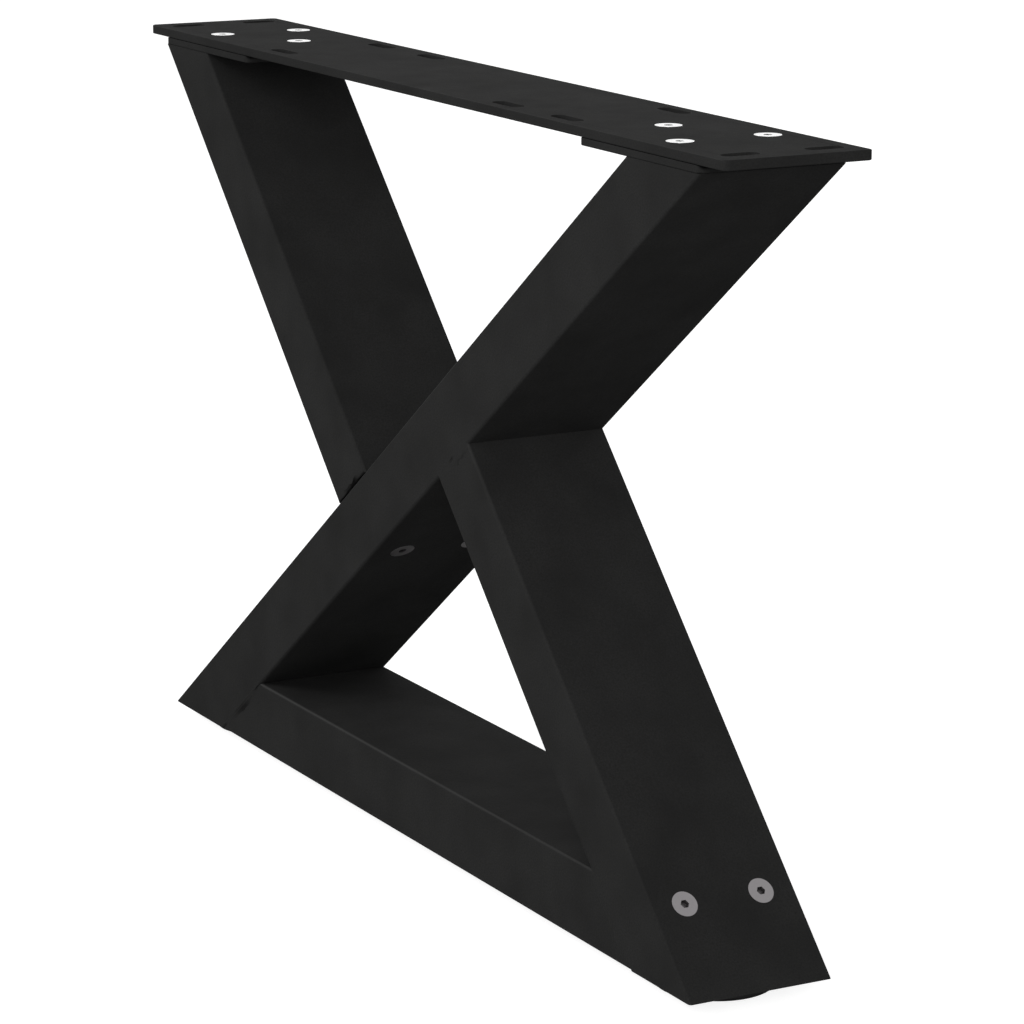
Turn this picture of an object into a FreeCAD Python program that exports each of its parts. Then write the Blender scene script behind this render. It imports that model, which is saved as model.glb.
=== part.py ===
import FreeCAD, Part
import os

import Sketcher
from FreeCAD import Placement, Rotation, Vector

# X shaped table leg of bolted rectangular steel tubes, in millimetres.
# Origin: on the floor, under the middle of the leg. +X along the top plate, +Y across it, +Z up.
# One long tube runs from the lower left to the upper right corner. Two short tubes of the other
# diagonal butt against its two wide faces, and a bottom bar ties the two lower corners together.
# Each butt joint is held by two countersunk screws that pass through the tube beside it into a
# threaded plate in the butting tube's end.

# name, value, meaning
SIZES = [
    ("frame_width", 600.0, "outside width of the crossed tubes"),
    ("frame_height", 396.0, "height of the tubes, from their lower to their upper ends"),
    ("tube_depth", 80.0, "wide side of the tube section, across the leg"),
    ("tube_across", 40.0, "narrow side of the tube section, in the plane of the leg"),
    ("tube_wall", 2.0, "wall of the tubes"),
    ("tube_radius", 1.5, "outside corner radius of the tubes"),
    ("tube_inside_radius", 0.5, "inside corner radius of the tubes"),
    ("short_slope_degrees", 45.5, "slope of the short tubes from the floor"),
    ("tube_rise", 8.0, "height of the tubes above the floor"),
    ("top_plate_overhang", 22.0, "plate under the table top, beyond the tubes at each end"),
    ("top_plate_thick", 5.0, "thickness of this plate"),
    ("head_plate_length", 111.0, "length of the plates welded on the tube heads"),
    ("head_plate_thick", 4.0, "thickness of the plates welded on the tube heads"),
    ("plate_corner", 3.0, "corner radius of these plates, seen from above"),
    ("plate_edge", 0.6, "rounding of the rims of these plates"),
    ("pair_from_end", 44.0, "plate screws that stand in a pair, from the outside of the tubes"),
    ("pair_from_edge", 16.0, "the same screws, from the long edges of the plate"),
    ("single_from_end", 16.0, "plate screw that stands alone, from its head plate's inner end"),
    ("side_slot_length", 25.0, "slots along the leg, for the table top's own screws"),
    ("end_slot_length", 20.0, "slots across the leg, for the same screws"),
    ("slot_width", 8.0, "width of these slots"),
    ("end_slot_from_end", 15.0, "slots across the leg, from the plate's end"),
    ("end_slot_from_edge", 17.5, "middle of these slots, from the plate's long edges"),
    ("outer_slot_from_end", 162.0, "outer slots along the leg, from the plate's end"),
    ("inner_slot_from_end", 222.0, "inner slots along the leg, from the plate's end"),
    ("side_slot_from_edge", 10.0, "slots along the leg, from the plate's long edges"),
    ("screw_diameter", 6.0, "shank of the countersunk screws"),
    ("screw_head", 13.4, "head of the countersunk screws"),
    ("screw_head_rim", 0.2, "height of the upright rim round a screw head"),
    ("screw_point", 0.8, "bevel at a screw's end"),
    ("socket_across", 4.0, "hexagon socket of the screws, across its flats"),
    ("socket_deep", 2.4, "depth of this socket"),
    ("plate_screw_length", 12.0, "length of the plate screws with their heads"),
    ("joint_screw_length", 45.0, "length of the joint screws with their heads"),
    ("joint_screw_spread", 43.0, "distance between the two screws of a tube joint"),
    ("corner_screw_up", 51.5, "lower right screws, up the outer face from the tube's foot"),
    ("screw_hole", 6.6, "clearance hole of the screws"),
    ("thread_play", 0.05, "play of a screw in its threaded plate, on the radius"),
    ("end_plate_thick", 5.0, "thickness of the threaded plates in the tube ends"),
    ("base_plate_thick", 4.0, "thickness of the plates in the tubes' feet"),
    ("inner_plate_corner", 2.0, "corner radius of the plates inside the tubes"),
    ("foot_from_end", 43.0, "axis of a levelling foot, from the outside of the leg"),
    ("pad_diameter", 60.0, "disc of a levelling foot"),
    ("pad_height", 7.95, "height of this disc, just less than the tubes stand above the floor"),
    ("pad_edge", 1.5, "rounding of the disc's two rims"),
    ("stud_diameter", 8.0, "stud of a levelling foot"),
    ("stud_rise", 24.0, "stud above the disc"),
    ("stud_point", 1.0, "bevel at the stud's end"),
    ("stud_hole", 9.0, "hole for the stud in the base plate"),
    ("stud_play", 0.06, "play of the stud in its nut, on the radius"),
    ("stud_head_across", 13.0, "hexagon head of the stud, across its flats"),
    ("stud_head_height", 5.3, "height of this head, which is sunk in the disc"),
    ("nut_across", 13.0, "weld nut, across its flats"),
    ("nut_height", 6.5, "height of the weld nut"),
]

ANGLE = "App::PropertyAngle"
NUMBER = "App::PropertyFloat"

# What follows from the sizes. The axis of a tube starts and ends in the middle of its cut ends.
# name, kind, expression, meaning
LAYOUT = [
    (
        "long_slope",
        ANGLE,
        "atan(Sizes.frame_height / Sizes.frame_width)"
        " + asin(Sizes.tube_across / sqrt(Sizes.frame_width ^ 2 + Sizes.frame_height ^ 2))",
        "slope of the long tube, which reaches two corners of the frame",
    ),
    ("short_slope", ANGLE, "Sizes.short_slope_degrees * 1 deg", "slope of the short tubes"),
    ("crossing", ANGLE, "Layout.long_slope + Layout.short_slope", "angle between the tubes"),
    ("half_across", NUMBER, "Sizes.tube_across / 2", "from a tube's axis to its wide faces"),
    ("half_depth", NUMBER, "Sizes.tube_depth / 2", "from a tube's axis to its narrow faces"),
    ("long_cut", NUMBER, "Sizes.tube_across / sin(Layout.long_slope)", "long tube's level cut"),
    ("short_cut", NUMBER, "Sizes.tube_across / sin(Layout.short_slope)", "short tubes' level cut"),
    ("head_z", NUMBER, "Sizes.tube_rise + Sizes.frame_height", "level of the upper ends"),
    ("top_plate_z", NUMBER, "Layout.head_z + Sizes.head_plate_thick", "top plate's underside"),
    ("top_z", NUMBER, "Layout.top_plate_z + Sizes.top_plate_thick", "top of the leg"),
    ("plate_end_x", NUMBER, "Sizes.frame_width / 2 + Sizes.top_plate_overhang", "top plate's end"),
    ("pair_x", NUMBER, "Sizes.frame_width / 2 - Sizes.pair_from_end", "plate screws in a pair"),
    ("pair_y", NUMBER, "Layout.half_depth - Sizes.pair_from_edge", "the same screws"),
    ("head_plate_x", NUMBER, "Sizes.frame_width / 2 - Sizes.head_plate_length", "its inner end"),
    ("single_x", NUMBER, "Layout.head_plate_x + Sizes.single_from_end", "lone plate screw"),
    ("end_slot_x", NUMBER, "Layout.plate_end_x - Sizes.end_slot_from_end", "slots across the leg"),
    ("end_slot_y", NUMBER, "Layout.half_depth - Sizes.end_slot_from_edge", "the same slots"),
    ("outer_slot_x", NUMBER, "Layout.plate_end_x - Sizes.outer_slot_from_end", "outer side slots"),
    ("inner_slot_x", NUMBER, "Layout.plate_end_x - Sizes.inner_slot_from_end", "inner side slots"),
    ("side_slot_y", NUMBER, "Layout.half_depth - Sizes.side_slot_from_edge", "both side slots"),
    ("long_foot_x", NUMBER, "(Layout.long_cut - Sizes.frame_width) / 2", "long tube's lower end"),
    ("short_foot_x", NUMBER, "(Sizes.frame_width - Layout.short_cut) / 2", "short tube's lower end"),
    ("long_length", NUMBER, "Sizes.frame_height / sin(Layout.long_slope)", "long tube's axis"),
    (
        "short_length",
        NUMBER,
        "((Layout.short_foot_x - Layout.long_foot_x) * sin(Layout.long_slope)"
        " - Layout.half_across) / sin(Layout.crossing)",
        "a short tube's axis, from its free end to the long tube's face",
    ),
    (
        "lower_joint_x",
        NUMBER,
        "Layout.short_foot_x - Layout.short_length * cos(Layout.short_slope)",
        "where the lower short tube meets the long one",
    ),
    (
        "lower_joint_z",
        NUMBER,
        "Sizes.tube_rise + Layout.short_length * sin(Layout.short_slope)",
        "height of this joint",
    ),
    (
        "lower_joint_along",
        NUMBER,
        "(Layout.short_foot_x - Layout.long_foot_x) * cos(Layout.long_slope)"
        " - Layout.short_length * cos(Layout.crossing)",
        "this joint, up the long tube's axis from its lower end",
    ),
    ("upper_joint_x", NUMBER, "-Layout.lower_joint_x", "where the upper short tube meets it"),
    (
        "upper_joint_z",
        NUMBER,
        "Sizes.tube_rise + Layout.head_z - Layout.lower_joint_z",
        "height of this joint",
    ),
    (
        "upper_joint_along",
        NUMBER,
        "Layout.long_length - Layout.lower_joint_along",
        "this joint, up the long tube's axis from its lower end",
    ),
    ("bar_z", NUMBER, "Sizes.tube_rise + Layout.half_across", "height of the bottom bar's axis"),
    (
        "bar_left_x",
        NUMBER,
        "Layout.long_cut - Sizes.frame_width / 2 + Layout.half_across / tan(Layout.long_slope)",
        "bottom bar's left end",
    ),
    (
        "bar_right_x",
        NUMBER,
        "Sizes.frame_width / 2 - Layout.short_cut - Layout.half_across / tan(Layout.short_slope)",
        "bottom bar's right end",
    ),
    ("bar_length", NUMBER, "Layout.bar_right_x - Layout.bar_left_x", "bottom bar's axis"),
    (
        "bar_joint_along",
        NUMBER,
        "Layout.half_across / tan(Layout.long_slope / 2)",
        "bottom bar's left joint, up the long tube's axis",
    ),
    (
        "corner_screw_along",
        NUMBER,
        "Sizes.corner_screw_up - Layout.half_across / tan(Layout.short_slope)",
        "lower right screws, up the lower short tube's axis",
    ),
    (
        "corner_screw_shift",
        NUMBER,
        "Layout.corner_screw_along - Layout.half_across / tan(Layout.short_slope / 2)",
        "the same screws, from the middle of the bar's end",
    ),
    ("screw_thread", NUMBER, "Sizes.screw_diameter + 2 * Sizes.thread_play", "threaded holes"),
    ("screw_seat", NUMBER, "Sizes.screw_head + 2 * Sizes.screw_head_rim", "mouth of a screw's seat"),
    ("stud_thread", NUMBER, "Sizes.stud_diameter + 2 * Sizes.stud_play", "weld nuts' bore"),
    ("foot_x", NUMBER, "Sizes.frame_width / 2 - Sizes.foot_from_end", "levelling feet's axes"),
]

SEAT_ANGLE = 90.0
FULL_TURN = 360.0
# A cutting outline reaches this many tube heights beyond the tube's axis.
CUT_REACH = 2
# Two lines or places closer than this are the same, in millimetres.
CLOSE = 0.01

X_AXIS = Vector(1, 0, 0)
Y_AXIS = Vector(0, 1, 0)
Z_AXIS = Vector(0, 0, 1)

doc = FreeCAD.newDocument("x_table_leg")
pieces = []


def make_sheet():
    """The driving dimensions, one row each: name, value and meaning."""
    table = doc.addObject("Spreadsheet::Sheet", "Sizes")
    for row, (name, value, meaning) in enumerate(SIZES, start=1):
        table.set(f"A{row}", name)
        table.set(f"B{row}", str(value))
        table.setAlias(f"B{row}", name)
        table.set(f"C{row}", meaning)
    doc.recompute()
    return table


def make_layout():
    """Slopes, lengths and joint places, each bound to the sheet."""
    places = doc.addObject("App::VarSet", "Layout")
    for name, kind, expression, meaning in LAYOUT:
        places.addProperty(kind, name, "Layout", meaning)
        places.setExpression(name, expression)
        doc.recompute()


sizes = make_sheet()
make_layout()


def number(expression):
    """The present value of an expression, the first guess for a dimension bound to it."""
    value = sizes.evalExpression(expression)
    return float(getattr(value, "Value", value))


class Spot:
    """A place in the plane of the leg and a turn about Y, all of them expressions."""

    def __init__(self, x, z, turn="0 deg"):
        self.x = x
        self.z = z
        self.turn = turn

    def moved(self, along, lift):
        """The spot that lies farther along this one's own X and Z."""
        x = f"{self.x} + ({along}) * cos({self.turn}) + ({lift}) * sin({self.turn})"
        z = f"{self.z} - ({along}) * sin({self.turn}) + ({lift}) * cos({self.turn})"
        return Spot(x, z, self.turn)


# A tube's own X runs along its axis, and its Z stands square on a wide face.
LONG_TUBE = Spot("Layout.long_foot_x", "Sizes.tube_rise", "-Layout.long_slope")
LOWER_TUBE = Spot("Layout.short_foot_x", "Sizes.tube_rise", "Layout.short_slope - 180 deg")
UPPER_TUBE = Spot("-Layout.short_foot_x", "Layout.head_z", "Layout.short_slope")
BAR = Spot("Layout.bar_left_x", "Layout.bar_z")

# At a joint X runs along the face that the tube butts on, and Z into the butting tube.
BAR_LEFT = Spot("Layout.bar_left_x", "Layout.bar_z", "180 deg - Layout.long_slope")
BAR_RIGHT = Spot("Layout.bar_right_x", "Layout.bar_z", "Layout.short_slope - 180 deg")
LOWER_JOINT = Spot("Layout.lower_joint_x", "Layout.lower_joint_z", "180 deg - Layout.long_slope")
UPPER_JOINT = Spot("Layout.upper_joint_x", "Layout.upper_joint_z", "-Layout.long_slope")
LEFT_BASE = Spot("Layout.long_foot_x", "Sizes.tube_rise")
RIGHT_BASE = Spot("Layout.short_foot_x", "Sizes.tube_rise")

LONG_END = "180 deg - Layout.long_slope"
SHORT_END = "Layout.short_slope"


def put(thing, spot, y="0"):
    """Binds an object's placement to a spot, y millimetres from the middle plane."""
    thing.Placement = Placement(Vector(), Rotation(Y_AXIS, 1))
    thing.setExpression("Placement.Base.x", spot.x)
    thing.setExpression("Placement.Base.y", y)
    thing.setExpression("Placement.Base.z", spot.z)
    thing.setExpression("Placement.Rotation.Angle", spot.turn)


def new_body(label, spot):
    """An empty body at a spot, named after the piece it becomes."""
    body = doc.addObject("PartDesign::Body", label)
    body.Label = label
    put(body, spot)
    return body


def own_datum(body, role):
    """One of the body's own planes or axes."""
    return next(item for item in body.Origin.OriginFeatures if item.Role == role)


def new_sketch(body, plane, name, **offset):
    """A sketch on one of the body's own planes. x, y, z and turn move it by expressions."""
    sketch = body.newObject("Sketcher::SketchObject", name)
    sketch.AttachmentSupport = [(own_datum(body, plane), "")]
    sketch.MapMode = "FlatFace"
    if "turn" in offset:
        sketch.AttachmentOffset = Placement(Vector(), Rotation(Z_AXIS, 1))
        sketch.setExpression("AttachmentOffset.Rotation.Angle", offset.pop("turn"))
    for axis, expression in offset.items():
        sketch.setExpression(f"AttachmentOffset.Base.{axis}", expression)
    return sketch


def hold_point(sketch, item, point, x, y):
    """Dimensions a point of a sketched item from the sketch's origin."""
    for kind, expression in (("DistanceX", x), ("DistanceY", y)):
        limit = Sketcher.Constraint(kind, -1, 1, item, point, number(expression))
        index = sketch.addConstraint(limit)
        sketch.setExpression(f"Constraints[{index}]", expression)


def hold_size(sketch, kind, item, expression):
    """Dimensions the radius or diameter of a sketched item."""
    index = sketch.addConstraint(Sketcher.Constraint(kind, item, number(expression)))
    sketch.setExpression(f"Constraints[{index}]", expression)


def draw_polygon(sketch, corners):
    """A closed outline through corners given as pairs of expressions."""
    points = [Vector(number(x), number(y), 0) for x, y in corners]
    lines = []
    for start, end in zip(points, points[1:] + points[:1]):
        lines.append(sketch.addGeometry(Part.LineSegment(start, end)))
    for line, following in zip(lines, lines[1:] + lines[:1]):
        sketch.addConstraint(Sketcher.Constraint("Coincident", line, 2, following, 1))
    for line, (x, y) in zip(lines, corners):
        hold_point(sketch, line, 1, x, y)


def draw_rectangle(sketch, low, high):
    """A rectangle between two corners."""
    draw_polygon(sketch, [low, (high[0], low[1]), high, (low[0], high[1])])


def draw_circle(sketch, x, y, diameter):
    centre = Vector(number(x), number(y), 0)
    item = sketch.addGeometry(Part.Circle(centre, Z_AXIS, number(diameter) / 2))
    hold_point(sketch, item, 3, x, y)
    hold_size(sketch, "Diameter", item, diameter)


def draw_hexagon(sketch, across):
    """A regular hexagon about the origin, with two of its flats square to X."""
    flat = f"{across} / 2"
    near = f"{across} / (2 * sqrt(3))"
    far = f"{across} / sqrt(3)"
    right = [("0", f"-{far}"), (flat, f"-{near}"), (flat, near)]
    left = [("0", far), (f"-{flat}", near), (f"-{flat}", f"-{near}")]
    draw_polygon(sketch, right + left)


def draw_slot(sketch, x, y, direction, length):
    """A round-ended slot about a point, along the sketch's X or Y."""
    reach = f"({length} - Sizes.slot_width) / 2"
    radius = "Sizes.slot_width / 2"
    if direction == X_AXIS:
        centres = [(f"{x} - {reach}", y), (f"{x} + {reach}", y)]
    else:
        centres = [(x, f"{y} - {reach}"), (x, f"{y} + {reach}")]
    first, last = [Vector(number(cx), number(cy), 0) for cx, cy in centres]
    ahead = direction * number(radius)
    aside = Z_AXIS.cross(ahead)
    outline = [
        Part.Arc(first + aside, first - ahead, first - aside),
        Part.LineSegment(first - aside, last - aside),
        Part.Arc(last - aside, last + ahead, last + aside),
        Part.LineSegment(last + aside, first + aside),
    ]
    items = [sketch.addGeometry(line) for line in outline]
    for item, following in zip(items, items[1:] + items[:1]):
        sketch.addConstraint(Sketcher.Constraint("Tangent", item, 2, following, 1))
    for arc, (cx, cy) in zip(items[::2], centres):
        hold_point(sketch, arc, 3, cx, cy)
        hold_size(sketch, "Radius", arc, radius)


def new_feature(body, kind, sketch, name, **bound):
    """A feature made from a sketch, with some of its properties bound to expressions."""
    item = body.newObject(f"PartDesign::{kind}", name)
    item.Profile = sketch
    for key, expression in bound.items():
        item.setExpression(key, expression)
    return item


def cut_through(body, sketch, name):
    """Cuts a sketched outline out of the whole body, on both sides of the sketch."""
    pocket = new_feature(body, "Pocket", sketch, name)
    pocket.SideType = "Symmetric"
    pocket.Type = "ThroughAll"
    doc.recompute()


def straight_edges(shape, direction, half_depth=None):
    """Names of the edges along a direction, all or only those this far from the middle plane."""
    names = []
    for index, edge in enumerate(shape.Edges, start=1):
        if not isinstance(edge.Curve, Part.Line):
            continue
        if edge.Curve.Direction.cross(direction).Length > CLOSE:
            continue
        if half_depth is None or abs(abs(edge.BoundBox.Center.y) - half_depth) < CLOSE:
            names.append(f"Edge{index}")
    return names


def level_edges(shape):
    """Names of the edges that lie level, straight ones and arcs."""
    edges = enumerate(shape.Edges, start=1)
    return [f"Edge{index}" for index, edge in edges if edge.BoundBox.ZLength < CLOSE]


def round_edges(body, base, edges, radius, name):
    fillet = body.newObject("PartDesign::Fillet", name)
    fillet.Base = (base, edges)
    fillet.setExpression("Radius", radius)
    doc.recompute()
    return fillet


def cut_end(body, along, slope, outward, name):
    """Cuts off a tube's end beyond a slanted line. outward is 1 at the start, -1 at the end."""
    sketch = new_sketch(body, "XZ_Plane", f"{name}_outline", x=along, turn=slope)
    reach = f"{CUT_REACH} * Sizes.tube_across"
    draw_rectangle(sketch, (f"-{reach}", "0"), (reach, f"{outward} * {reach}"))
    cut_through(body, sketch, name)


def make_tube(label, spot, length, start_slope, end_slope):
    """A rectangular tube from a spot along its X axis, with two slanted ends."""
    body = new_body(label, spot)
    section = new_sketch(body, "YZ_Plane", f"{label}_section")
    for inset in ("0", "Sizes.tube_wall"):
        high = (f"Layout.half_depth - {inset}", f"Layout.half_across - {inset}")
        low = (f"-({high[0]})", f"-({high[1]})")
        draw_rectangle(section, low, high)
    pad = new_feature(body, "Pad", section, f"{label}_run")
    pad.SideType = "Two sides"
    pad.setExpression("Length", f"{length} + Sizes.tube_across")
    pad.setExpression("Length2", "Sizes.tube_across")
    doc.recompute()

    outer = straight_edges(pad.Shape, X_AXIS, number("Layout.half_depth"))
    outside = round_edges(body, pad, outer, "Sizes.tube_radius", f"{label}_outer_rounds")
    inner = straight_edges(outside.Shape, X_AXIS, number("Layout.half_depth - Sizes.tube_wall"))
    round_edges(body, outside, inner, "Sizes.tube_inside_radius", f"{label}_inner_rounds")

    cut_end(body, "0", start_slope, 1, f"{label}_start_cut")
    cut_end(body, length, end_slope, -1, f"{label}_end_cut")
    pieces.append(body)
    return body


def sink_holes(body, sketch, reverse, mirror, name):
    """Countersunk holes right through a body at a sketch's circles, and their mirror images."""
    doc.recompute()
    hole = new_feature(body, "Hole", sketch, name, Diameter="Sizes.screw_hole")
    hole.DepthType = "ThroughAll"
    hole.ThreadType = "None"
    hole.HoleCutType = "Countersink"
    hole.HoleCutCustomValues = True
    hole.setExpression("HoleCutDiameter", "Layout.screw_seat")
    hole.HoleCutCountersinkAngle = SEAT_ANGLE
    hole.Reversed = reverse
    doc.recompute()
    twins = body.newObject("PartDesign::Mirrored", f"{name}_twins")
    twins.Originals = [hole]
    twins.MirrorPlane = (own_datum(body, mirror), [""])
    body.Tip = twins
    doc.recompute()


def drill_tube(body, along, face, name):
    """Two joint screw holes across a tube, countersunk on its +Z face (1) or -Z face (-1)."""
    sketch = new_sketch(
        body, "XY_Plane", f"{name}_centre", x=along, z=f"{face} * Layout.half_across"
    )
    draw_circle(sketch, "0", "Sizes.joint_screw_spread / 2", "Sizes.screw_hole")
    sink_holes(body, sketch, face < 0, "XZ_Plane", name)


def make_inner_plate(label, spot, slope, thick, bore, centres):
    """A plate that fills a tube's slanted end. slope is the angle from its face to the tube."""
    body = new_body(label, spot)
    outline = new_sketch(body, "XZ_Plane", f"{label}_outline")
    half = f"(Layout.half_across - Sizes.tube_wall) / sin({slope})"
    shift = f"{thick} / tan({slope})"
    ends = [(f"-{half}", "0"), (half, "0"), (f"{half} + {shift}", thick), (f"-{half} + {shift}", thick)]
    draw_polygon(outline, ends)
    depth = "2 * (Layout.half_depth - Sizes.tube_wall)"
    pad = new_feature(body, "Pad", outline, f"{label}_width", Length=depth)
    pad.SideType = "Symmetric"
    doc.recompute()

    upright = Vector(number(shift), 0, number(thick)).normalize()
    corners = straight_edges(pad.Shape, upright)
    round_edges(body, pad, corners, "Sizes.inner_plate_corner", f"{label}_rounds")

    bores = new_sketch(body, "XY_Plane", f"{label}_bore_centres")
    for x, y in centres:
        draw_circle(bores, x, y, bore)
    cut_through(body, bores, f"{label}_bores")
    pieces.append(body)


def make_end_plate(label, spot, slope, along="0"):
    """A plate with the two threads of a tube joint."""
    offset = "Sizes.joint_screw_spread / 2"
    centres = [(along, offset), (along, f"-{offset}")]
    make_inner_plate(label, spot, slope, "Sizes.end_plate_thick", "Layout.screw_thread", centres)


def make_flat_plate(label, level, low_x, high_x, thick):
    """A plate as wide as the tubes, with rounded corners and rims, from a level upwards."""
    body = new_body(label, Spot("0", level))
    outline = new_sketch(body, "XY_Plane", f"{label}_outline")
    draw_rectangle(outline, (low_x, "-Layout.half_depth"), (high_x, "Layout.half_depth"))
    pad = new_feature(body, "Pad", outline, f"{label}_thickness", Length=thick)
    doc.recompute()
    corners = straight_edges(pad.Shape, Z_AXIS)
    fillet = round_edges(body, pad, corners, "Sizes.plate_corner", f"{label}_corners")
    round_edges(body, fillet, level_edges(fillet.Shape), "Sizes.plate_edge", f"{label}_rims")
    pieces.append(body)
    return body


def draw_plate_screws(sketch, side, diameter):
    """Circles at the three screws of one head plate. side is 1 on the right, -1 on the left."""
    pair = f"{side} * Layout.pair_x"
    for y in ("Layout.pair_y", "-Layout.pair_y"):
        draw_circle(sketch, pair, y, diameter)
    draw_circle(sketch, f"{side} * Layout.single_x", "0", diameter)


def make_head_plate(label, side):
    """The plate welded on a tube's head, with three threads."""
    ends = ["Layout.head_plate_x", "Sizes.frame_width / 2"]
    if side < 0:
        ends = [f"-({ends[1]})", f"-({ends[0]})"]
    body = make_flat_plate(label, "Layout.head_z", ends[0], ends[1], "Sizes.head_plate_thick")
    threads = new_sketch(body, "XY_Plane", f"{label}_thread_centres")
    draw_plate_screws(threads, side, "Layout.screw_thread")
    cut_through(body, threads, f"{label}_threads")


def make_top_plate():
    """The long plate under the table top, with slots and countersunk holes."""
    thick = "Sizes.top_plate_thick"
    ends = ("-Layout.plate_end_x", "Layout.plate_end_x")
    body = make_flat_plate("top_plate", "Layout.top_plate_z", ends[0], ends[1], thick)
    slots = new_sketch(body, "XY_Plane", "slot_outlines")
    across = "Sizes.end_slot_length"
    lengthways = "Sizes.side_slot_length"
    for x_sign in ("", "-"):
        for y_sign in ("", "-"):
            end_y = f"{y_sign}Layout.end_slot_y"
            draw_slot(slots, f"{x_sign}Layout.end_slot_x", end_y, Y_AXIS, across)
            side_y = f"{y_sign}Layout.side_slot_y"
            draw_slot(slots, f"{x_sign}Layout.outer_slot_x", side_y, X_AXIS, lengthways)
    draw_slot(slots, "Layout.inner_slot_x", "-Layout.side_slot_y", X_AXIS, lengthways)
    draw_slot(slots, "-Layout.inner_slot_x", "Layout.side_slot_y", X_AXIS, lengthways)
    cut_through(body, slots, "table_top_slots")

    centres = new_sketch(body, "XY_Plane", "plate_screw_centres", z=thick)
    draw_plate_screws(centres, 1, "Sizes.screw_hole")
    sink_holes(body, centres, False, "YZ_Plane", "plate_screw_holes")


def turned_solid(body, corners, name):
    """A solid turned about the body's Z axis from an outline in its XZ plane."""
    outline = new_sketch(body, "XZ_Plane", f"{name}_outline")
    draw_polygon(outline, corners)
    solid = new_feature(body, "Revolution", outline, name)
    solid.ReferenceAxis = (own_datum(body, "Z_Axis"), [""])
    solid.Angle = FULL_TURN
    doc.recompute()


def make_screw(label, length):
    """A countersunk screw whose head is level with the origin and whose shank runs along Z."""
    body = new_body(label, Spot("0", "0"))
    head = "Sizes.screw_head / 2"
    shank = "Sizes.screw_diameter / 2"
    neck = f"Sizes.screw_head_rim + {head} - {shank}"
    corners = [
        ("0", "0"),
        (head, "0"),
        (head, "Sizes.screw_head_rim"),
        (shank, neck),
        (shank, f"{length} - Sizes.screw_point"),
        (f"{shank} - Sizes.screw_point", length),
        ("0", length),
    ]
    turned_solid(body, corners, f"{label}_form")
    socket = new_sketch(body, "XY_Plane", f"{label}_socket_outline")
    draw_hexagon(socket, "Sizes.socket_across")
    pocket = new_feature(body, "Pocket", socket, f"{label}_socket", Length="Sizes.socket_deep")
    pocket.Reversed = True
    doc.recompute()
    return body


def make_screw_group(label, length, places):
    """One screw repeated at places given as a spot and a distance from the middle plane."""
    screw = make_screw(f"{label}_master", length)
    copies = []
    for index, (spot, y) in enumerate(places, start=1):
        copy = doc.addObject("App::Link", f"{label}_{index}")
        copy.LinkedObject = screw
        put(copy, spot, y)
        copies.append(copy)
    group = doc.addObject("Part::Compound", label)
    group.Label = label
    group.Links = copies
    doc.recompute()
    pieces.append(group)


def make_foot(side_label, spot):
    """A levelling foot: disc, stud with its hexagon head sunk in the disc, and weld nut."""
    disc = new_body(f"{side_label}_foot_pad", Spot(spot.x, "0"))
    outline = new_sketch(disc, "XY_Plane", f"{side_label}_pad_outline")
    draw_circle(outline, "0", "0", "Sizes.pad_diameter")
    pad = new_feature(disc, "Pad", outline, f"{side_label}_pad_height", Length="Sizes.pad_height")
    doc.recompute()
    round_edges(disc, pad, level_edges(pad.Shape), "Sizes.pad_edge", f"{side_label}_pad_rims")
    recess = new_sketch(disc, "XY_Plane", f"{side_label}_pad_recess", z="Sizes.pad_height")
    draw_hexagon(recess, "Sizes.stud_head_across")
    depth = "Sizes.stud_head_height"
    new_feature(disc, "Pocket", recess, f"{side_label}_pad_pocket", Length=depth)
    doc.recompute()
    pieces.append(disc)

    stud_spot = Spot(spot.x, "Sizes.pad_height - Sizes.stud_head_height")
    stud = new_body(f"{side_label}_foot_stud", stud_spot)
    radius = "Sizes.stud_diameter / 2"
    length = "Sizes.stud_head_height + Sizes.stud_rise"
    corners = [
        ("0", "0"),
        (radius, "0"),
        (radius, f"{length} - Sizes.stud_point"),
        (f"{radius} - Sizes.stud_point", length),
        ("0", length),
    ]
    turned_solid(stud, corners, f"{side_label}_stud_shank")
    head = new_sketch(stud, "XY_Plane", f"{side_label}_stud_head_outline")
    draw_hexagon(head, "Sizes.stud_head_across")
    new_feature(stud, "Pad", head, f"{side_label}_stud_head", Length="Sizes.stud_head_height")
    doc.recompute()
    pieces.append(stud)

    nut_spot = Spot(spot.x, "Sizes.tube_rise + Sizes.base_plate_thick")
    nut = new_body(f"{side_label}_foot_nut", nut_spot)
    ring = new_sketch(nut, "XY_Plane", f"{side_label}_nut_outline")
    draw_hexagon(ring, "Sizes.nut_across")
    draw_circle(ring, "0", "0", "Layout.stud_thread")
    new_feature(nut, "Pad", ring, f"{side_label}_nut_body", Length="Sizes.nut_height")
    doc.recompute()
    pieces.append(nut)


def make_tubes():
    """The four tubes with the holes of their joint screws."""
    long_tube = make_tube("long_diagonal", LONG_TUBE, "Layout.long_length", LONG_END, LONG_END)
    drill_tube(long_tube, "Layout.bar_joint_along", 1, "bar_joint_holes")
    drill_tube(long_tube, "Layout.lower_joint_along", 1, "lower_joint_holes")
    drill_tube(long_tube, "Layout.upper_joint_along", -1, "upper_joint_holes")

    short = "Layout.short_length"
    make_tube("upper_short_tube", UPPER_TUBE, short, SHORT_END, "Layout.crossing")
    lower_tube = make_tube("lower_short_tube", LOWER_TUBE, short, SHORT_END, "Layout.crossing")
    drill_tube(lower_tube, "Layout.corner_screw_along", -1, "corner_joint_holes")

    far_end = "180 deg - Layout.short_slope"
    make_tube("bottom_bar", BAR, "Layout.bar_length", "Layout.long_slope", far_end)


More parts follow.
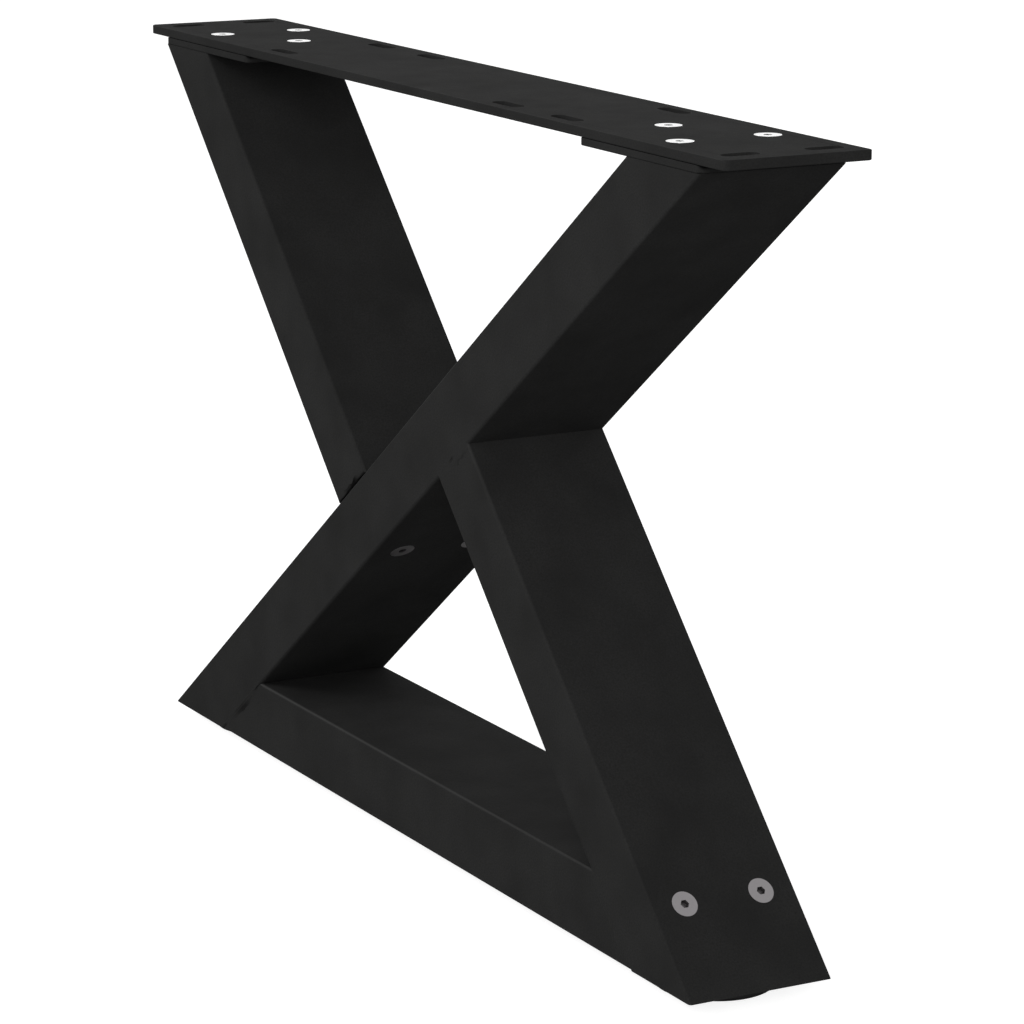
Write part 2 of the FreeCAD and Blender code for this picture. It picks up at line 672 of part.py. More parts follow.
def make_inner_plates():
    """The plates in the tube ends: four with screw threads and two over the feet."""
    make_end_plate("bar_left_end_plate", BAR_LEFT, "(180 deg - Layout.long_slope)")
    make_end_plate(
        "bar_right_end_plate", BAR_RIGHT, "Layout.short_slope", "Layout.corner_screw_shift"
    )
    make_end_plate("lower_tube_end_plate", LOWER_JOINT, "(180 deg - Layout.crossing)")
    make_end_plate("upper_tube_end_plate", UPPER_JOINT, "(180 deg - Layout.crossing)")

    thick = "Sizes.base_plate_thick"
    left = [("-Layout.foot_x - Layout.long_foot_x", "0")]
    make_inner_plate("left_foot_plate", LEFT_BASE, "Layout.long_slope", thick, "Sizes.stud_hole", left)
    right = [("Layout.foot_x - Layout.short_foot_x", "0")]
    lean = "(180 deg - Layout.short_slope)"
    make_inner_plate("right_foot_plate", RIGHT_BASE, lean, thick, "Sizes.stud_hole", right)


def make_screws():
    """Eight screws in the tube joints and six in the top plate."""
    joints = [
        BAR_LEFT.moved("0", "-Sizes.tube_across"),
        BAR_RIGHT.moved("Layout.corner_screw_shift", "-Sizes.tube_across"),
        LOWER_JOINT.moved("0", "-Sizes.tube_across"),
        UPPER_JOINT.moved("0", "-Sizes.tube_across"),
    ]
    half_spread = "Sizes.joint_screw_spread / 2"
    places = [(joint, y) for joint in joints for y in (half_spread, f"-{half_spread}")]
    make_screw_group("joint_screws", "Sizes.joint_screw_length", places)

    places = []
    for sign in ("", "-"):
        pair = Spot(f"{sign}Layout.pair_x", "Layout.top_z", "180 deg")
        single = Spot(f"{sign}Layout.single_x", "Layout.top_z", "180 deg")
        places += [(pair, "Layout.pair_y"), (pair, "-Layout.pair_y"), (single, "0")]
    make_screw_group("plate_screws", "Sizes.plate_screw_length", places)


def check_document():
    """Stops on any object that did not compute and any piece that is not sound."""
    for item in doc.Objects:
        if "Invalid" in item.State or "Error" in item.State:
            raise RuntimeError(f"{item.Label} did not compute: {item.State}")
    for piece in pieces:
        shape = piece.Shape
        if shape.isNull() or not shape.isValid() or not shape.Solids or shape.Volume <= 0:
            raise RuntimeError(f"{piece.Label} is not a sound solid")


def write_pieces():
    os.makedirs("parts", exist_ok=True)
    for piece in pieces:
        piece.Shape.exportStep(f"parts/{piece.Label}.step")


make_tubes()
make_inner_plates()
make_top_plate()
make_head_plate("left_head_plate", -1)
make_head_plate("right_head_plate", 1)
make_screws()
make_foot("left", Spot("-Layout.foot_x", "0"))
make_foot("right", Spot("Layout.foot_x", "0"))

doc.recompute()
check_document()
write_pieces()
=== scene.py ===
import math

import bmesh
import bpy
from mathutils import Matrix, Vector, noise as smooth_noise


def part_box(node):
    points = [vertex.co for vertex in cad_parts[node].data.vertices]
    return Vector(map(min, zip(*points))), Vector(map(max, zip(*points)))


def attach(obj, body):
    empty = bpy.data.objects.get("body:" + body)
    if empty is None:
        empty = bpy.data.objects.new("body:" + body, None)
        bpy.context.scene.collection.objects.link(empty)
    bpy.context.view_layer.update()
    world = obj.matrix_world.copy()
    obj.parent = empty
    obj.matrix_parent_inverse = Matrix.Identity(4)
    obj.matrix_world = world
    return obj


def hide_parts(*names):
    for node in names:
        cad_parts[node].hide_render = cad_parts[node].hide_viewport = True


# X shaped table leg of black powder-coated steel tubes on a pale floor, in metres.
# The solids come from the frame. This script adds materials, soft edges, threads, the ground
# welds at the tube joints, the camera and the studio.

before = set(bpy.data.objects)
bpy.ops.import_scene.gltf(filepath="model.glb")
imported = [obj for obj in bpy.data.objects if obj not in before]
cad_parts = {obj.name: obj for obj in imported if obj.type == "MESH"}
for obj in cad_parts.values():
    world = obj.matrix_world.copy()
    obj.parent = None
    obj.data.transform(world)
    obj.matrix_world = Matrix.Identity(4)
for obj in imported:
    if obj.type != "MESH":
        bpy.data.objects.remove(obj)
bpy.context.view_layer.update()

MM = 0.001
WHITE = (1, 1, 1, 1)

HEAD_PLATE_NODES = ["left_head_plate", "right_head_plate"]
TUBE_NODES = ["long_diagonal", "upper_short_tube", "lower_short_tube", "bottom_bar"]
# The threaded plates in the tubes' butting ends and the base plates in the lower corners.
INNER_PLATE_NODES = [
    "bar_left_end_plate",
    "bar_right_end_plate",
    "lower_tube_end_plate",
    "upper_tube_end_plate",
    "left_foot_plate",
    "right_foot_plate",
]
ZINC_NODES = ["left_foot_nut", "right_foot_nut", "left_foot_stud", "right_foot_stud"]
PAD_NODES = ["left_foot_pad", "right_foot_pad"]


def millimetres(length):
    """A length or place of the frame in millimetres, without its mesh's rounding errors."""
    return round(length / MM, 2)


# The photograph's camera: where it stands, where it looks in the leg's middle plane, and its roll.
CAMERA_PLACE = Vector((1.8358, -0.9684, 0.6628))
CAMERA_TARGET = Vector((0.0489, 0.0, 0.2509))
CAMERA_ROLL = math.radians(0.123)
CAMERA_LENS = 140.5
CAMERA_SHIFT_Y = -0.109
SENSOR_WIDTH = 36.0

# Lamps: name, place and length of a side in metres, and power in watts. All face one point.
LAMP_TARGET = Vector((0, 0, 0.2))
LAMPS = [
    ("front_left", Vector((-1.2, -2.6, 1.8)), 1.6, 42),
    ("front_low", Vector((1.7, -2.4, 0.3)), 1.4, 15),
    ("front_right", Vector((2.6, -1.6, 1.4)), 1.6, 38),
    ("back", Vector((-1.0, 3.0, 0.9)), 1.6, 24),
]
# Strength of the white world's light on the object.
WORLD_LEVEL = 0.33

FLOOR_SIZE = 30.0
FLOOR_COLOR = (0.45, 0.45, 0.45, 1)
FLOOR_ROUGHNESS = 0.9
# Light that the floor gives off for the camera alone.
FLOOR_GLOW = 0.85

# The coat's two shades, its painted highlight on edges, the painted shade down in pits and gaps,
# and its gloss.
COAT_DARK = (0.0186, 0.0186, 0.0184, 1)
COAT_LIGHT = (0.0264, 0.0264, 0.0261, 1)
COAT_HIGHLIGHT = (0.048, 0.048, 0.0475, 1)
PAINTED_SHADE_COLOR = (0.002, 0.002, 0.002, 1)
COAT_SPECULAR = 0.009
# The coat's clouds and grains, per metre, and where their product turns from shade to shade.
CLOUD_SCALE = 28.0
GRAIN_SCALE = 1100.0
MOTTLE_SPAN = (0.1, 0.4)
# How far an edge faces up and left where the painted highlight begins and where it is full. A
# share times the rest of it is a quarter at most, on the middle of a rounded edge.
HIGHLIGHT_SPAN = (0.2, 1.0)
LARGEST_PRODUCT = 0.25

ZINC_COLOR = (0.52, 0.52, 0.50, 1)
BRIGHT_SCREW_COLOR = (0.93, 0.93, 0.93, 1)
GREY_SCREW_COLOR = (0.24, 0.23, 0.235, 1)
PAD_COLOR = (0.011, 0.011, 0.011, 1)
PAD_SPECULAR = 0.35

# Roughness: scale of its unevenness per metre, lowest and highest value.
COAT_ROUGHNESS = (60.0, 0.62, 0.74)
WELD_ROUGHNESS = (200.0, 0.55, 0.7)
ZINC_ROUGHNESS = (300.0, 0.3, 0.5)
BRIGHT_SCREW_ROUGHNESS = (700.0, 0.18, 0.3)
GREY_SCREW_ROUGHNESS = (700.0, 0.34, 0.48)
PAD_ROUGHNESS = (250.0, 0.5, 0.65)

# Bumps, in layers: scale per metre, strength and depth in metres.
COAT_BUMPS = [(420.0, 0.25, 0.0004), (1500.0, 0.35, 0.00012)]
WELD_BUMPS = [(300.0, 0.3, 0.0005), (1500.0, 0.35, 0.00012)]
PAD_BUMPS = [(900.0, 0.3, 0.0002)]
NOISE_DETAIL = 2.0

# How far the painted shade in a screw's socket and in the gap between two plates reaches, in
# metres.
SOCKET_SHADE = 0.004
GAP_SHADE = 0.0025
# How open a place is where the gap's painted shade is full and where it ends, and the same for how
# far a face looks up. A face that looks down stays clear of it.
GAP_SPAN = (0.75, 0.98)
DOWNWARD_SPAN = (-0.3, -0.6)

# Rounded rims of the pieces, in millimetres. An edge is rounded where its faces turn by
# SHARP_ANGLE or more. Points closer than MERGE_DISTANCE are one.
HEAD_PLATE_RIM = 1.1
STEEL_RIM = 0.35
SCREW_RIM = 0.3
RIM_SEGMENTS = 2
SHARP_ANGLE = math.radians(35)
MERGE_DISTANCE = 0.002

# The tubes, in millimetres.
tube_low, tube_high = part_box("long_diagonal")
FRAME_WIDTH = millimetres(tube_high.x - tube_low.x)
HALF_DEPTH = millimetres(tube_high.y)
TUBE_BASE = millimetres(tube_low.z)
HEAD_LEVEL = millimetres(tube_high.z)
FRAME_HEIGHT = HEAD_LEVEL - TUBE_BASE
TUBE_ACROSS = millimetres(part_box("bottom_bar")[1].z) - TUBE_BASE
TUBE_CORNER = 1.5
SHORT_SLOPE = math.radians(45.5)
LONG_SLOPE = math.atan2(FRAME_HEIGHT, FRAME_WIDTH) + math.asin(
    TUBE_ACROSS / math.hypot(FRAME_HEIGHT, FRAME_WIDTH)
)

# Ground welds, in millimetres. A weld reaches WELD_HALF to both sides of its joint, give or take
# WELD_FRAY, and stands WELD_RISE proud of the tubes, give or take WELD_RIPPLE. Beyond these rims
# and over its last WELD_END it sinks into the tubes by WELD_FALL for each millimetre.
WELD_HALF = 2.8
WELD_FRAY = 2.4
WELD_RISE = 0.06
WELD_RIPPLE = 0.06
WELD_END = 1.0
WELD_FALL = 0.3
# Scales of the rims' and the surface's unevenness per millimetre, and the step in the noise from
# one weld to the next.
FRAY_SCALE = 0.17
RIPPLE_SCALE = 0.35
SEED_STEP = 7.3
# The strip that holds a weld: how far it reaches to a side of the joint, how far its underside
# lies under the tubes' faces, its least thickness and the size of its meshes.
WELD_REACH = 8.0
WELD_DEEP = 1.8
WELD_FLOOR = 0.15
WELD_STEP = 0.55
# How far the pits stray to the side, how steep their walls are, by how much the deepest one
# widens the weld, and how wide the groove along the other tube's rounded edge is.
WELD_WANDER = 1.1
PIT_STEEPNESS = 4
PIT_SPREAD = 4.5
WELD_GROOVE = 1.2
PIT_ATTRIBUTE = "pit"

# How far each joint's two strips reach to both sides of the joint. The upper joint's strips stay
# on the short tube, so the long tube's rounded edge is seen.
WELD_SPANS = {
    "middle": (-WELD_REACH, WELD_REACH),
    "upper": (-WELD_REACH, 0.0),
    "bar_left": (-WELD_REACH, WELD_REACH),
    "bar_right": (-WELD_REACH, WELD_REACH),
}

# Pits and cracks left in the welds of the front side, sunk into the strips that cross the groove
# and darkened with painted shade: place along the joint from its middle, place across it, half
# length, half width and depth as a share of the deepest.
WELD_PITS = {
    "middle": [
        (-1.0, -1.4, 2.0, 0.7, 0.6),
        (10.0, 2.6, 5.0, 0.7, 0.35),
        (5.0, 4.2, 2.4, 1.6, 0.2),
    ],
    "upper": [
        (3.5, -0.6, 5.5, 3.2, 1.0),
        (-3.5, -3.0, 5.0, 3.4, 0.7),
        (0.0, -0.2, 22.0, 0.8, 1.0),
    ],
    "bar_left": [
        (-1.0, 2.8, 10.0, 3.6, 0.6),
        (28.5, 0.3, 4.6, 0.9, 0.8),
        (-29.5, 0.0, 3.0, 0.7, 1.0),
    ],
    "bar_right": [
        (-26.0, 0.0, 1.6, 0.6, 0.6),
    ],
}

# Stud of a levelling foot, in millimetres. Its head ends level with the pad, and the rod has a
# bevelled end.
pad_low, pad_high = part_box("right_foot_pad")
stud_low, stud_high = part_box("right_foot_stud")
FOOT_X = millimetres((pad_low.x + pad_high.x) / 2)
STUD_HEAD_LOW = millimetres(stud_low.z)
STUD_HEAD_TOP = millimetres(pad_high.z)
STUD_TOP = millimetres(stud_high.z)
STUD_HEAD_ACROSS = 13.0
STUD_HEAD_SIDES = 6
STUD_RADIUS = 4.0
STUD_BEVEL = 1.0
THREAD_PITCH = 1.25
THREAD_DEEP = 0.7
THREAD_SIDES = 24
RINGS_PER_TURN = 5


def feed(tree, socket, source):
    """Gives a node's input a plain value or the output of another node."""
    if isinstance(source, bpy.types.NodeSocket):
        tree.links.new(source, socket)
    else:
        socket.default_value = source


def add_node(tree, kind, **inputs):
    """A node with some of its inputs fed. Their names have _ for each space."""
    node = tree.nodes.new(kind)
    for name, source in inputs.items():
        feed(tree, node.inputs[name.replace("_", " ")], source)
    return node


def noise(tree, scale):
    """Noise over the object's own coordinates, so it stays on the piece as it moves."""
    place = add_node(tree, "ShaderNodeTexCoord").outputs["Object"]
    return add_node(
        tree, "ShaderNodeTexNoise", Vector=place, Scale=scale, Detail=NOISE_DETAIL
    ).outputs["Fac"]


def face_direction(tree):
    """The parts X, Y and Z of the direction in which a face of the object looks."""
    normal = add_node(tree, "ShaderNodeTexCoord").outputs["Normal"]
    return add_node(tree, "ShaderNodeSeparateXYZ", Vector=normal).outputs


def remap(tree, value, span, result=(0.0, 1.0)):
    """Takes a value from one span to another, and keeps it within that one."""
    return add_node(
        tree,
        "ShaderNodeMapRange",
        Value=value,
        From_Min=span[0],
        From_Max=span[1],
        To_Min=result[0],
        To_Max=result[1],
    ).outputs["Result"]


def calculate(tree, operation, *values):
    """One step of arithmetic on numbers or other nodes' outputs."""
    step = tree.nodes.new("ShaderNodeMath")
    step.operation = operation
    for socket, value in zip(step.inputs, values):
        feed(tree, socket, value)
    return step.outputs[0]


def mix_colors(tree, factor, low, high):
    """Mixes two colours, each a value or another node's output."""
    mix = tree.nodes.new("ShaderNodeMix")
    mix.data_type = "RGBA"
    feed(tree, mix.inputs["Factor"], factor)
    sockets = [socket for socket in mix.inputs if socket.type == "RGBA"]
    for socket, color in zip(sockets, (low, high)):
        feed(tree, socket, color)
    return next(socket for socket in mix.outputs if socket.type == "RGBA")


def add_bumps(tree, shader, layers):
    """Bumps from noise, one layer over the other."""
    normal = None
    for scale, strength, depth in layers:
        bump = add_node(
            tree, "ShaderNodeBump", Height=noise(tree, scale), Strength=strength, Distance=depth
        )
        if normal:
            feed(tree, bump.inputs["Normal"], normal)
        normal = bump.outputs["Normal"]
    if normal:
        feed(tree, shader.inputs["Normal"], normal)


def new_material(name, color, roughness, bumps=(), **values):
    """A material of uneven roughness. color is a value or a function that builds it from nodes.
    The values are for other inputs of the shader, whose names have _ for each space."""
    material = bpy.data.materials.new(name)
    material.use_nodes = True
    tree = material.node_tree
    shader = tree.nodes["Principled BSDF"]
    feed(tree, shader.inputs["Base Color"], color(tree) if callable(color) else color)
    for key, value in values.items():
        feed(tree, shader.inputs[key.replace("_", " ")], value)
    scale, low, high = roughness
    feed(tree, shader.inputs["Roughness"], remap(tree, noise(tree, scale), (0, 1), (low, high)))
    add_bumps(tree, shader, bumps)
    return material


def edge_highlight(tree):
    """Where the painted highlight goes: 1 on the long edges that face up and left, 0 on the faces
    and under edges.
    """
    normal = face_direction(tree)
    sideways = calculate(tree, "MULTIPLY", normal["Y"], normal["Y"])
    upright = calculate(tree, "SUBTRACT", 1.0, sideways)
    both = calculate(tree, "MULTIPLY", sideways, upright)
    rounding = calculate(tree, "DIVIDE", both, LARGEST_PRODUCT)
    aside = calculate(tree, "SUBTRACT", normal["Z"], normal["X"])
    return calculate(tree, "MULTIPLY", rounding, remap(tree, aside, HIGHLIGHT_SPAN))


def mottled_coat(tree):
    """The coat's colour: a little uneven, between two shades."""
    both = calculate(tree, "MULTIPLY", noise(tree, CLOUD_SCALE), noise(tree, GRAIN_SCALE))
    return mix_colors(tree, remap(tree, both, MOTTLE_SPAN), COAT_DARK, COAT_LIGHT)


def highlighted_coat(tree):
    """The coat's colour with a painted highlight on the edges that face up and left."""
    return mix_colors(tree, edge_highlight(tree), mottled_coat(tree), COAT_HIGHLIGHT)


def gap_shaded_coat(tree):
    """The coat's colour with its painted edge highlight, and painted shade down in narrow gaps,
    but not on faces that look down.
    """
    hollow = add_node(tree, "ShaderNodeAmbientOcclusion", Distance=GAP_SHADE)
    exposed = remap(tree, hollow.outputs["AO"], GAP_SPAN)
    downward = remap(tree, face_direction(tree)["Z"], DOWNWARD_SPAN)
    bare = calculate(tree, "MAXIMUM", exposed, downward)
    return mix_colors(tree, bare, PAINTED_SHADE_COLOR, highlighted_coat(tree))


def pitted_coat(tree):
    """The coat's colour on a ground weld, with painted shade where it runs into pits and cracks.
    """
    pit = add_node(tree, "ShaderNodeAttribute")
    pit.attribute_name = PIT_ATTRIBUTE
    return mix_colors(tree, pit.outputs["Fac"], mottled_coat(tree), PAINTED_SHADE_COLOR)


def black_coat(name, color, roughness, bumps):
    """Matt black powder coat: a very fine grain and a slow unevenness."""
    return new_material(name, color, roughness, bumps, Specular_IOR_Level=COAT_SPECULAR)


def zinc():
    """Dull zinc plating of the nuts and the studs."""
    return new_material("dull_zinc", ZINC_COLOR, ZINC_ROUGHNESS, Metallic=1.0)


def pad_plastic():
    """Matt black moulded plastic of the foot discs."""
    return new_material(
        "black_pad_plastic",
        PAD_COLOR,
        PAD_ROUGHNESS,
        PAD_BUMPS,
        Specular_IOR_Level=PAD_SPECULAR,
    )


def plated_screw(name, color, roughness):
    """Plated steel, with painted shade down in the socket and in the gap round the head."""

    def shaded_color(tree):
        return add_node(
            tree, "ShaderNodeAmbientOcclusion", Color=color, Distance=SOCKET_SHADE
        ).outputs["Color"]

    return new_material(name, shaded_color, roughness, Metallic=1.0)


def paint(nodes, material):
    """Gives some of the frame's pieces their material."""
    for name in nodes:
        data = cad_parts[name].data
        data.materials.clear()
        data.materials.append(material)


def soften_edges(nodes, width):
    """Rounds the sharp edges of flat-cut pieces, as the coating does."""
    for name in nodes:
        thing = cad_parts[name]
        weld = thing.modifiers.new("join_faces", "WELD")
        weld.merge_threshold = MERGE_DISTANCE * MM
        bevel = thing.modifiers.new("soft_edges", "BEVEL")
        bevel.limit_method = "ANGLE"
        bevel.angle_limit = SHARP_ANGLE
        bevel.width = width * MM
        bevel.segments = RIM_SEGMENTS
        bevel.harden_normals = True


def finish_mesh(name, mesh, material, smooth):
    """Turns built faces into an object."""
    bmesh.ops.recalc_face_normals(mesh, faces=mesh.faces)
    data = bpy.data.meshes.new(name)
    mesh.to_mesh(data)
    mesh.free()
    for face in data.polygons:
        face.use_smooth = smooth
    data.materials.append(material)
    thing = bpy.data.objects.new(name, data)
    bpy.context.scene.collection.objects.link(thing)
    return thing


def relief_block(rows, columns, top_point, under_point):
    """A closed block: a grid of points on top, and one flat face under its rim."""
    mesh = bmesh.new()
    top = [[mesh.verts.new(top_point(i, j)) for j in range(columns)] for i in range(rows)]
    for i in range(rows - 1):
        for j in range(columns - 1):
            mesh.faces.new((top[i][j], top[i + 1][j], top[i + 1][j + 1], top[i][j + 1]))
    rim = [(i, 0) for i in range(rows)]
    rim += [(rows - 1, j) for j in range(1, columns)]
    rim += [(i, columns - 1) for i in range(rows - 2, -1, -1)]
    rim += [(0, j) for j in range(columns - 2, 0, -1)]
    under = [mesh.verts.new(under_point(i, j)) for i, j in rim]
    for k, (i, j) in enumerate(rim):
        after = (k + 1) % len(rim)
        next_i, next_j = rim[after]
        mesh.faces.new((top[i][j], top[next_i][next_j], under[after], under[k]))
    mesh.faces.new(under)
    return mesh


def direction(slope):
    """A unit vector in the plane of the leg, turned up from +X."""
    return Vector((math.cos(slope), 0, math.sin(slope)))


def weld_lines():
    """Where the butting tubes meet the others: middle, slope, half length and the tube's slope."""
    long_cut = TUBE_ACROSS / math.sin(LONG_SLOPE)
    short_cut = TUBE_ACROSS / math.sin(SHORT_SLOPE)
    long_foot = (long_cut - FRAME_WIDTH) / 2
    short_foot = (FRAME_WIDTH - short_cut) / 2
    crossing = LONG_SLOPE + SHORT_SLOPE
    reach = (short_foot - long_foot) * math.sin(LONG_SLOPE) - TUBE_ACROSS / 2
    foot = Vector((short_foot, 0, TUBE_BASE))
    lower = foot + direction(math.pi - SHORT_SLOPE) * (reach / math.sin(crossing))
    upper = Vector((-lower.x, 0, TUBE_BASE + HEAD_LEVEL - lower.z))
    bar_left = Vector((long_cut - FRAME_WIDTH / 2, 0, TUBE_BASE))
    bar_left += direction(LONG_SLOPE) * long_cut / 2
    bar_right = Vector((FRAME_WIDTH / 2 - short_cut, 0, TUBE_BASE))
    bar_right += direction(math.pi - SHORT_SLOPE) * short_cut / 2
    half_seam = TUBE_ACROSS / 2 / math.sin(crossing)
    return {
        "middle": (lower, LONG_SLOPE, half_seam, -SHORT_SLOPE),
        "upper": (upper, LONG_SLOPE, half_seam, -SHORT_SLOPE),
        "bar_left": (bar_left, LONG_SLOPE, long_cut / 2, 0.0),
        "bar_right": (bar_right, math.pi - SHORT_SLOPE, short_cut / 2, 0.0),
    }


def pit_depth(along, across, seed, pits):
    """How deep the pits are at a place of a weld: 0 for none, 1 for the deepest."""
    wander = WELD_WANDER * smooth_noise.noise(Vector((along * FRAY_SCALE, seed, 0)))
    depth = 0.0
    for pit_along, pit_across, half_length, half_width, share in pits:
        far = (along - pit_along) / half_length
        aside = (across + wander - pit_across) / half_width
        depth = max(depth, share / (1 + math.hypot(far, aside) ** PIT_STEEPNESS))
    return depth


def corner_drop(inward):
    """How far a tube's rounded corner lies under its face, at a distance in from its side."""
    missing = min(TUBE_CORNER, max(0.0, TUBE_CORNER - inward))
    return TUBE_CORNER - math.sqrt(TUBE_CORNER ** 2 - missing ** 2)


def weld_height(along, across, inward, seed, pits):
    """Height of a ground weld over the tubes' faces, in millimetres. The pits go down only in
    the groove along the other tube's rounded edge, where nothing else fills them."""
    fray = smooth_noise.noise(Vector((along * FRAY_SCALE, across * FRAY_SCALE, seed)))
    pit = pit_depth(along, across, seed, pits)
    reach = WELD_HALF + WELD_FRAY * fray + PIT_SPREAD * pit
    ripple = Vector((along * RIPPLE_SCALE, across * RIPPLE_SCALE, seed + 1))
    height = WELD_RISE + smooth_noise.noise(ripple) * WELD_RIPPLE
    height -= max(0.0, abs(across) - reach) * WELD_FALL
    height -= max(0.0, WELD_END - inward) * WELD_FALL + corner_drop(inward)
    if -WELD_GROOVE < across < 0:
        height -= pit
    return max(height, WELD_FLOOR - WELD_DEEP)


def ground_weld(name, line, side, span, seed, pits, material):
    """A weld ground flush over one end of a tube joint. side is -1 in front and 1 behind. On a
    strip that ends at the joint the pits are only painted shade, as the groove isn't under it."""
    middle, slope, half_length, across_slope = line
    low, high = span
    cut_pits = pits if low < 0 < high else []
    slant = abs(math.sin(slope - across_slope))
    along_way = direction(slope)
    across_way = direction(across_slope)
    rows = int(2 * half_length / WELD_STEP) + 1
    columns = int((high - low) / WELD_STEP) + 1

    def place(i, j):
        along = half_length * (2 * i / (rows - 1) - 1)
        across = low + (high - low) * j / (columns - 1)
        return along, across, middle + along_way * along + across_way * across

    def top_point(i, j):
        along, across, spot = place(i, j)
        inward = (half_length - abs(along)) * slant
        height = weld_height(along, across, inward, seed, cut_pits)
        return (spot + Vector((0, side * (HALF_DEPTH + height), 0))) * MM

    def under_point(i, j):
        return (place(i, j)[2] + Vector((0, side * (HALF_DEPTH - WELD_DEEP), 0))) * MM

    mesh = relief_block(rows, columns, top_point, under_point)
    weld = finish_mesh(name, mesh, material, smooth=True)
    shade = weld.data.attributes.new(PIT_ATTRIBUTE, "FLOAT", "POINT")
    for k in range(rows * columns):
        along, across, _ = place(*divmod(k, columns))
        shade.data[k].value = pit_depth(along, across, seed, pits)
    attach(weld, "frame")


def ground_welds(material):
    """One weld in front of each joint, with its pits, and a whole one behind it."""
    for index, (joint, line) in enumerate(weld_lines().items()):
        span = WELD_SPANS[joint]
        seed = index * SEED_STEP
        ground_weld(f"weld_{joint}_front", line, -1, span, seed, WELD_PITS[joint], material)
        seed = (index + len(WELD_PITS)) * SEED_STEP
        ground_weld(f"weld_{joint}_back", line, 1, span, seed, [], material)


def add_ring(mesh, z, distances):
    """A ring of vertices round the Z axis, from their distances to it, in millimetres."""
    ring = []
    for k, distance in enumerate(distances):
        angle = math.tau * k / len(distances)
        spot = Vector((math.cos(angle) * distance, math.sin(angle) * distance, z))
        ring.append(mesh.verts.new(spot * MM))
    return ring


def close_rings(mesh, rings):
    """Joins rings of vertices, from the lowest to the highest, to a closed body."""
    for lower, upper in zip(rings, rings[1:]):
        for k in range(len(lower)):
            after = (k + 1) % len(lower)
            mesh.faces.new((lower[k], lower[after], upper[after], upper[k]))
    mesh.faces.new(rings[0][::-1])
    mesh.faces.new(rings[-1])


def threaded_rod(mesh, low, high):
    """A closed rod along Z with a helical thread and a bevelled upper end."""
    rows = int((high - low) / THREAD_PITCH * RINGS_PER_TURN)
    rings = []
    for i in range(rows + 1):
        z = low + (high - low) * i / rows
        bevel = max(0.0, z - (high - STUD_BEVEL))
        distances = []
        for k in range(THREAD_SIDES):
            phase = ((z - low) / THREAD_PITCH - k / THREAD_SIDES) % 1.0
            groove = THREAD_DEEP * abs(2 * phase - 1)
            distances.append(STUD_RADIUS - max(groove, bevel))
        rings.append(add_ring(mesh, z, distances))
    close_rings(mesh, rings)


def foot_stud(side_name, x, material):
    """The levelling foot's stud: a hexagon head sunk in the pad, and a threaded rod."""
    mesh = bmesh.new()
    corners = [STUD_HEAD_ACROSS / math.sqrt(3)] * STUD_HEAD_SIDES
    close_rings(mesh, [add_ring(mesh, z, corners) for z in (STUD_HEAD_LOW, STUD_HEAD_TOP)])
    threaded_rod(mesh, STUD_HEAD_TOP, STUD_TOP)
    stud = finish_mesh(f"{side_name}_threaded_stud", mesh, material, smooth=False)
    for vertex in stud.data.vertices:
        vertex.co.x += x * MM
    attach(stud, f"{side_name}_foot")
    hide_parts(f"{side_name}_foot_stud")


def placement(spot, target, roll=0.0):
    """Where a camera or lamp stands and how it is turned to look at a point."""
    aim = (target - spot).to_track_quat("-Z", "Y").to_matrix()
    turn = aim @ Matrix.Rotation(roll, 3, "Z")
    return Matrix.Translation(spot) @ turn.to_4x4()


def place_camera():
    """The photograph's camera."""
    data = bpy.data.cameras.new("photo_camera")
    data.sensor_width = SENSOR_WIDTH
    data.lens = CAMERA_LENS
    data.shift_y = CAMERA_SHIFT_Y
    camera = bpy.data.objects.new("photo_camera", data)
    camera.matrix_world = placement(CAMERA_PLACE, CAMERA_TARGET, CAMERA_ROLL)
    bpy.context.scene.collection.objects.link(camera)
    bpy.context.scene.camera = camera


def place_lamps():
    """Soft square lamps, all turned to one point."""
    for name, spot, size, power in LAMPS:
        data = bpy.data.lights.new(name, "AREA")
        data.size = size
        data.energy = power
        lamp = bpy.data.objects.new(name, data)
        lamp.matrix_world = placement(spot, LAMP_TARGET)
        bpy.context.scene.collection.objects.link(lamp)


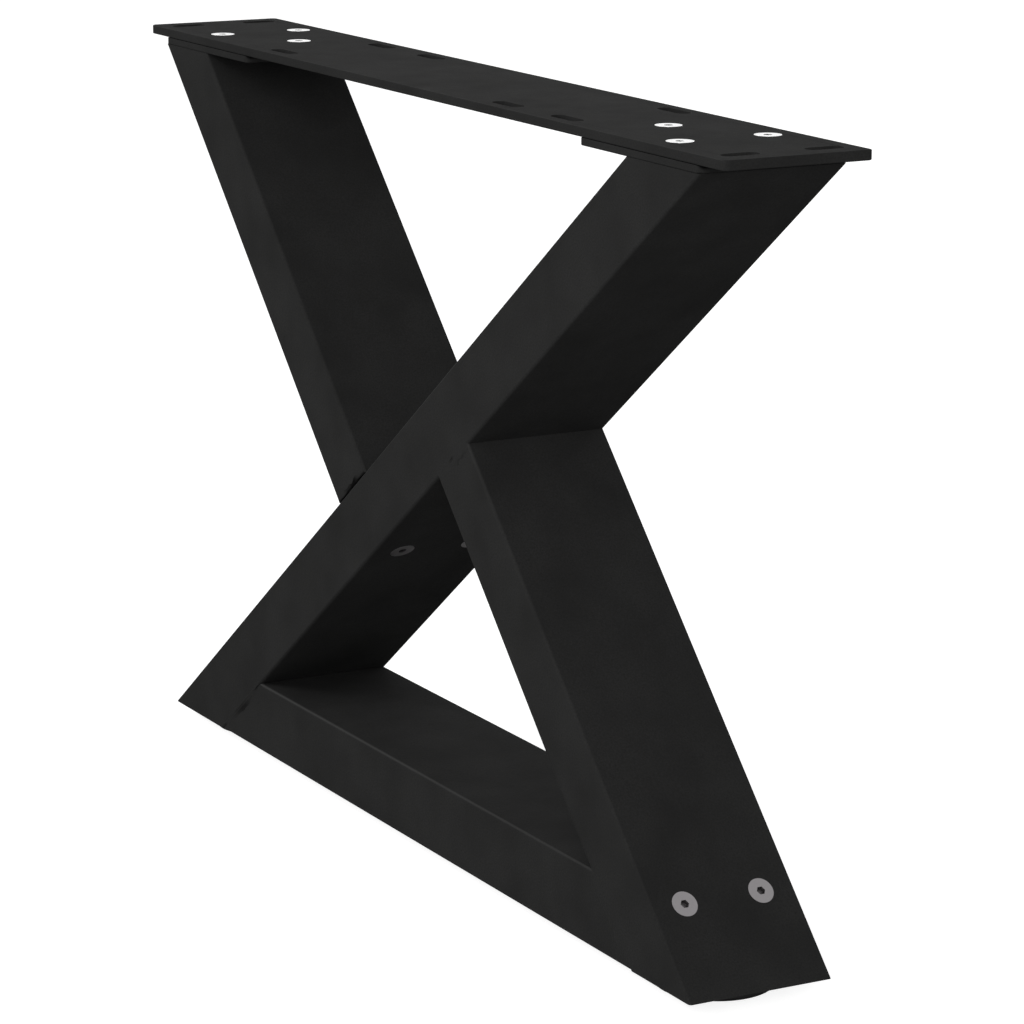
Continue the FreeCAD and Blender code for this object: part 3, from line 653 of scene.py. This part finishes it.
def white_world():
    """White where the camera, a reflection or glass sees it, and a plain soft light elsewhere."""
    world = bpy.data.worlds.new("studio")
    bpy.context.scene.world = world
    world.use_nodes = True
    tree = world.node_tree
    path = add_node(tree, "ShaderNodeLightPath").outputs
    seen = calculate(tree, "MAXIMUM", path["Is Camera Ray"], path["Is Glossy Ray"])
    seen = calculate(tree, "MAXIMUM", seen, path["Is Transmission Ray"])
    background = tree.nodes["Background"].inputs
    feed(tree, background["Color"], WHITE)
    feed(tree, background["Strength"], remap(tree, seen, (0, 1), (WORLD_LEVEL, 1.0)))


def pale_floor():
    """A white floor. It adds a little light of its own for the camera only, and keeps shadows."""
    bpy.ops.mesh.primitive_plane_add(size=FLOOR_SIZE)
    floor = bpy.context.object
    floor.name = "studio_floor"
    material = bpy.data.materials.new("floor_white")
    material.use_nodes = True
    tree = material.node_tree
    shader = tree.nodes["Principled BSDF"].inputs
    camera_ray = add_node(tree, "ShaderNodeLightPath").outputs["Is Camera Ray"]
    feed(tree, shader["Base Color"], FLOOR_COLOR)
    feed(tree, shader["Roughness"], FLOOR_ROUGHNESS)
    feed(tree, shader["Emission Color"], WHITE)
    feed(tree, shader["Emission Strength"], calculate(tree, "MULTIPLY", camera_ray, FLOOR_GLOW))
    floor.data.materials.append(material)


# Painted light: the plate coat has painted edge highlights and painted shade in gaps, the tube
# coat painted edge highlights, the weld coat painted shade in pits and cracks, the screws painted
# shade in their sockets.
plate_coat = black_coat("black_plate_coat", gap_shaded_coat, COAT_ROUGHNESS, COAT_BUMPS)
tube_coat = black_coat("black_powder_coat", highlighted_coat, COAT_ROUGHNESS, COAT_BUMPS)
weld_coat = black_coat("ground_weld_coat", pitted_coat, WELD_ROUGHNESS, WELD_BUMPS)
dull_zinc = zinc()
paint(["top_plate"] + HEAD_PLATE_NODES, plate_coat)
paint(TUBE_NODES + INNER_PLATE_NODES, tube_coat)
paint(ZINC_NODES, dull_zinc)
paint(PAD_NODES, pad_plastic())
paint(
    ["plate_screws"],
    plated_screw("bright_plated_screw", BRIGHT_SCREW_COLOR, BRIGHT_SCREW_ROUGHNESS),
)
paint(
    ["joint_screws"],
    plated_screw("grey_plated_screw", GREY_SCREW_COLOR, GREY_SCREW_ROUGHNESS),
)
soften_edges(HEAD_PLATE_NODES, HEAD_PLATE_RIM)
soften_edges(["top_plate"] + TUBE_NODES + INNER_PLATE_NODES, STEEL_RIM)
soften_edges(["joint_screws", "plate_screws"], SCREW_RIM)
ground_welds(weld_coat)
foot_stud("left", -FOOT_X, dull_zinc)
foot_stud("right", FOOT_X, dull_zinc)

pale_floor()
white_world()
place_lamps()
bpy.context.scene.view_settings.view_transform = "Standard"
place_camera()
